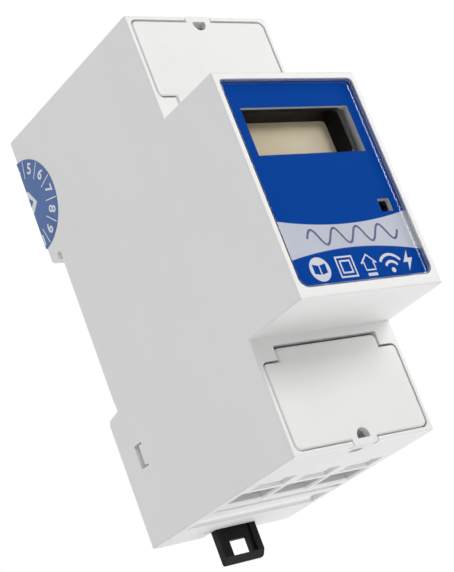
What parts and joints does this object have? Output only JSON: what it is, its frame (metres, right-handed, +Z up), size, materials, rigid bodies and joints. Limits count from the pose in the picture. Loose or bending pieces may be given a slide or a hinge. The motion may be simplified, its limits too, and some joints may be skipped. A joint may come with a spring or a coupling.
{
  "type": "electricity meter",
  "caption": "Rail-mounted single-phase electricity meter with a display behind a clear front plate, hinged terminal covers over screw clamps, and a sliding rail clip.",
  "frame": {"origin": "centre of the seat that rests on the front of the mounting rail", "axes": "+Z up as installed, -Y out of the front face, +X to the right seen from the front"},
  "size_m": [0.0351, 0.0636, 0.0971],
  "materials": {
    "housing_plastic": "fine moulded texture",
    "cover_plastic": "fine moulded texture",
    "clear_plate": "polished clear",
    "printed_film": "gloss print",
    "black_plastic": "satin",
    "display_cell": "glass with polarising film",
    "diffuser_plastic": "milky",
    "contact_rubber": "layered",
    "diode_resin": "tinted clear resin",
    "board_laminate": "solder mask",
    "header_plastic": "moulded",
    "shield_can": "tinned",
    "ferrite": "sintered",
    "capacitor_sleeve": "shrink sleeve",
    "arrester_coat": "dipped coating",
    "relay_case": "moulded",
    "potting": "potted",
    "tinned_copper": "tin plated",
    "zinc_steel": "zinc plated",
    "spring_steel": "drawn wire",
    "sticker_vinyl": "printed vinyl"
  },
  "bodies": {
    "meter": {"front_housing": "housing_plastic", "rear_base": "housing_plastic", "terminal_block_upper": "housing_plastic", "terminal_block_lower": "housing_plastic", "faceplate_lens": "clear_plate", "faceplate_label": "printed_film", "lcd_bezel": "black_plastic", "lcd_glass": "display_cell", "lcd_backlight": "diffuser_plastic", "lcd_contact_strips": "contact_rubber", "status_led": "diode_resin", "display_board": "board_laminate", "main_board": "board_laminate", "board_connector": "header_plastic", "wifi_module": "shield_can", "supply_transformer": "ferrite", "supply_capacitors": "capacitor_sleeve", "surge_arrester": "arrester_coat", "relay": "relay_case", "current_transformer": "potting", "phase_bar_in": "tinned_copper", "phase_bar_out": "tinned_copper", "neutral_bar": "tinned_copper", "middle_contact_upper": "tinned_copper", "middle_contact_lower": "tinned_copper", "verification_sticker": "sticker_vinyl", "rail_clip_spring": "spring_steel"},
    "upper_cover": {"upper_terminal_cover": "cover_plastic"},
    "lower_cover": {"lower_terminal_cover": "cover_plastic"},
    "clip": {"rail_clip": "black_plastic"},
    "screw_upper_left": {"terminal_screw_upper_left": "zinc_steel"},
    "cage_upper_left": {"clamp_cage_upper_left": "zinc_steel"},
    "screw_upper_middle": {"terminal_screw_upper_middle": "zinc_steel"},
    "cage_upper_middle": {"clamp_cage_upper_middle": "zinc_steel"},
    "screw_upper_right": {"terminal_screw_upper_right": "zinc_steel"},
    "cage_upper_right": {"clamp_cage_upper_right": "zinc_steel"},
    "screw_lower_left": {"terminal_screw_lower_left": "zinc_steel"},
    "cage_lower_left": {"clamp_cage_lower_left": "zinc_steel"},
    "screw_lower_middle": {"terminal_screw_lower_middle": "zinc_steel"},
    "cage_lower_middle": {"clamp_cage_lower_middle": "zinc_steel"},
    "screw_lower_right": {"terminal_screw_lower_right": "zinc_steel"},
    "cage_lower_right": {"clamp_cage_lower_right": "zinc_steel"}
  },
  "joints": [
    {"name": "upper_cover_hinge", "type": "hinge", "parent": "meter", "child": "upper_cover", "pos_m": [0, -0.0422, 0.026], "axis": [1, 0, 0], "range_deg": [0, 90]},
    {"name": "lower_cover_hinge", "type": "hinge", "parent": "meter", "child": "lower_cover", "pos_m": [0, -0.0422, -0.026], "axis": [-1, 0, 0], "range_deg": [0, 90]},
    {"name": "rail_clip_slide", "type": "slide", "parent": "meter", "child": "clip", "axis": [0, 0, -1], "range_m": [0, 0.0045], "stiffness_N_per_m": 500, "springref_m": -0.004, "deforming": ["rail_clip_spring"]},
    {"name": "screw_turn_upper_left", "type": "hinge", "parent": "meter", "child": "screw_upper_left", "pos_m": [-0.011, -0.036, 0.036], "axis": [0, 1, 0], "range_deg": [0, 1801]},
    {"name": "cage_lift_upper_left", "type": "slide", "parent": "meter", "child": "cage_upper_left", "axis": [0, -1, 0], "range_m": [0, 0.005]},
    {"name": "screw_turn_upper_middle", "type": "hinge", "parent": "meter", "child": "screw_upper_middle", "pos_m": [0, -0.036, 0.036], "axis": [0, 1, 0], "range_deg": [0, 1801]},
    {"name": "cage_lift_upper_middle", "type": "slide", "parent": "meter", "child": "cage_upper_middle", "axis": [0, -1, 0], "range_m": [0, 0.005]},
    {"name": "screw_turn_upper_right", "type": "hinge", "parent": "meter", "child": "screw_upper_right", "pos_m": [0.011, -0.036, 0.036], "axis": [0, 1, 0], "range_deg": [0, 1801]},
    {"name": "cage_lift_upper_right", "type": "slide", "parent": "meter", "child": "cage_upper_right", "axis": [0, -1, 0], "range_m": [0, 0.005]},
    {"name": "screw_turn_lower_left", "type": "hinge", "parent": "meter", "child": "screw_lower_left", "pos_m": [-0.011, -0.036, -0.036], "axis": [0, 1, 0], "range_deg": [0, 1801]},
    {"name": "cage_lift_lower_left", "type": "slide", "parent": "meter", "child": "cage_lower_left", "axis": [0, -1, 0], "range_m": [0, 0.005]},
    {"name": "screw_turn_lower_middle", "type": "hinge", "parent": "meter", "child": "screw_lower_middle", "pos_m": [0, -0.036, -0.036], "axis": [0, 1, 0], "range_deg": [0, 1801]},
    {"name": "cage_lift_lower_middle", "type": "slide", "parent": "meter", "child": "cage_lower_middle", "axis": [0, -1, 0], "range_m": [0, 0.005]},
    {"name": "screw_turn_lower_right", "type": "hinge", "parent": "meter", "child": "screw_lower_right", "pos_m": [0.011, -0.036, -0.036], "axis": [0, 1, 0], "range_deg": [0, 1801]},
    {"name": "cage_lift_lower_right", "type": "slide", "parent": "meter", "child": "cage_lower_right", "axis": [0, -1, 0], "range_m": [0, 0.005]}
  ],
  "couplings": [
    {"joint": "screw_turn_upper_left", "follows": "cage_lift_upper_left", "rad_per_m": 6283.2},
    {"joint": "screw_turn_upper_middle", "follows": "cage_lift_upper_middle", "rad_per_m": 6283.2},
    {"joint": "screw_turn_upper_right", "follows": "cage_lift_upper_right", "rad_per_m": 6283.2},
    {"joint": "screw_turn_lower_left", "follows": "cage_lift_lower_left", "rad_per_m": 6283.2},
    {"joint": "screw_turn_lower_middle", "follows": "cage_lift_lower_middle", "rad_per_m": 6283.2},
    {"joint": "screw_turn_lower_right", "follows": "cage_lift_lower_right", "rad_per_m": 6283.2}
  ]
}
